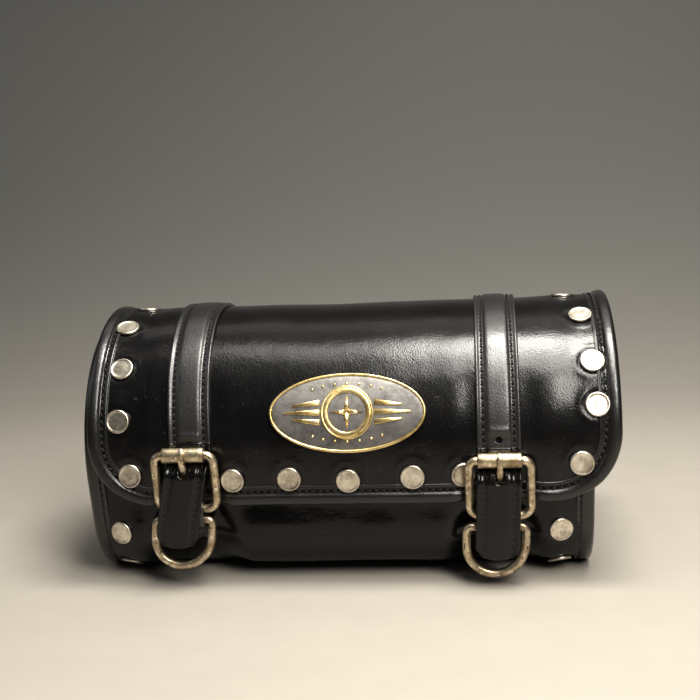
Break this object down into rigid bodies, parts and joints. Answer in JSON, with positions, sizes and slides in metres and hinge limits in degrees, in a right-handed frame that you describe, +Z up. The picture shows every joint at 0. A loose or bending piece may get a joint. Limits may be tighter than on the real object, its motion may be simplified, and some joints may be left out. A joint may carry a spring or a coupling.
{
  "type": "motorcycle tail bag",
  "caption": "Barrel-shaped black leather bag with a studded front flap, strap buckles with rollers, hanging rings and an oval medallion.",
  "frame": {"origin": "point of the flat base under the barrel's axis, at the middle of the flap's width", "axes": "+X along the bag's length to the wearer's right as seen from the front, -Y out of the front, +Z up"},
  "size_m": [0.307, 0.1735, 0.156],
  "materials": {
    "leather": "glossy black pull-up leather, fine grain",
    "strap_leather": "glossy black strap leather, stitched along both edges",
    "binding": "black edge binding, semi-gloss, stitched",
    "lining": "matt black woven cloth",
    "studs": "nickel plate, dulled and spotted",
    "hardware": "antique brass, worn bright on the high places",
    "rivets": "blackened steel, satin",
    "medal_gold": "old gold plate, satin",
    "medal_dark": "dark gunmetal enamel",
    "medal_pad": "black pad, matt"
  },
  "bodies": {
    "root": {"body_panel": "leather", "end_panel_left": "leather", "end_panel_right": "leather", "end_binding_left": "binding", "end_binding_right": "binding", "lining": "lining", "mouth_binding": "binding", "seam_strip": "binding", "body_studs_left": "studs", "body_studs_right": "studs", "chape_left": "strap_leather", "chape_right": "strap_leather", "chape_rivets_left": "rivets", "chape_rivets_right": "rivets"},
    "flap": {"flap_panel": "leather", "flap_lining": "lining", "flap_binding": "binding", "flap_studs_front": "studs", "flap_studs_left": "studs", "flap_studs_right": "studs", "medal_backing": "medal_pad", "medal_plate": "medal_gold", "medal_rim": "medal_gold", "medal_field": "medal_dark", "medal_emblem": "medal_gold", "strap_left": "strap_leather", "strap_right": "strap_leather", "tongue_left": "strap_leather", "tongue_right": "strap_leather"},
    "frame_left": {"buckle_frame_left": "hardware"},
    "roller_left": {"buckle_roller_left": "hardware"},
    "prong_left": {"buckle_prong_left": "hardware"},
    "ring_left": {"ring_left": "hardware"},
    "frame_right": {"buckle_frame_right": "hardware"},
    "roller_right": {"buckle_roller_right": "hardware"},
    "prong_right": {"buckle_prong_right": "hardware"},
    "ring_right": {"ring_right": "hardware"}
  },
  "joints": [
    {"name": "flap_hinge", "type": "hinge", "parent": "root", "child": "flap", "pos_m": [0, 0.081, 0.0799], "axis": [-1, 0, 0], "range_deg": [0, 115], "deforming": ["tongue_left", "tongue_right"]},
    {"name": "buckle_left_tilt", "type": "hinge", "parent": "root", "child": "frame_left", "pos_m": [-0.0936, -0.081, 0.0477], "axis": [1, 0, 0], "range_deg": [0, 85]},
    {"name": "roller_left_spin", "type": "hinge", "parent": "frame_left", "child": "roller_left", "pos_m": [-0.0936, -0.0857, 0.0803], "axis": [1, 0, 0], "continuous": true},
    {"name": "prong_left_lift", "type": "hinge", "parent": "frame_left", "child": "prong_left", "pos_m": [-0.0936, -0.081, 0.0477], "axis": [1, 0, 0], "range_deg": [0, 35]},
    {"name": "ring_left_swing", "type": "hinge", "parent": "root", "child": "ring_left", "pos_m": [-0.097, -0.0796, 0.0407], "axis": [-1, 0, 0], "range_deg": [-10, 40]},
    {"name": "buckle_right_tilt", "type": "hinge", "parent": "root", "child": "frame_right", "pos_m": [0.0844, -0.081, 0.0418], "axis": [1, 0, 0], "range_deg": [0, 85]},
    {"name": "roller_right_spin", "type": "hinge", "parent": "frame_right", "child": "roller_right", "pos_m": [0.0844, -0.0857, 0.0744], "axis": [1, 0, 0], "continuous": true},
    {"name": "prong_right_lift", "type": "hinge", "parent": "frame_right", "child": "prong_right", "pos_m": [0.0844, -0.081, 0.0418], "axis": [1, 0, 0], "range_deg": [0, 35]},
    {"name": "ring_right_swing", "type": "hinge", "parent": "root", "child": "ring_right", "pos_m": [0.082, -0.0796, 0.0348], "axis": [-1, 0, 0], "range_deg": [-10, 40]}
  ]
}
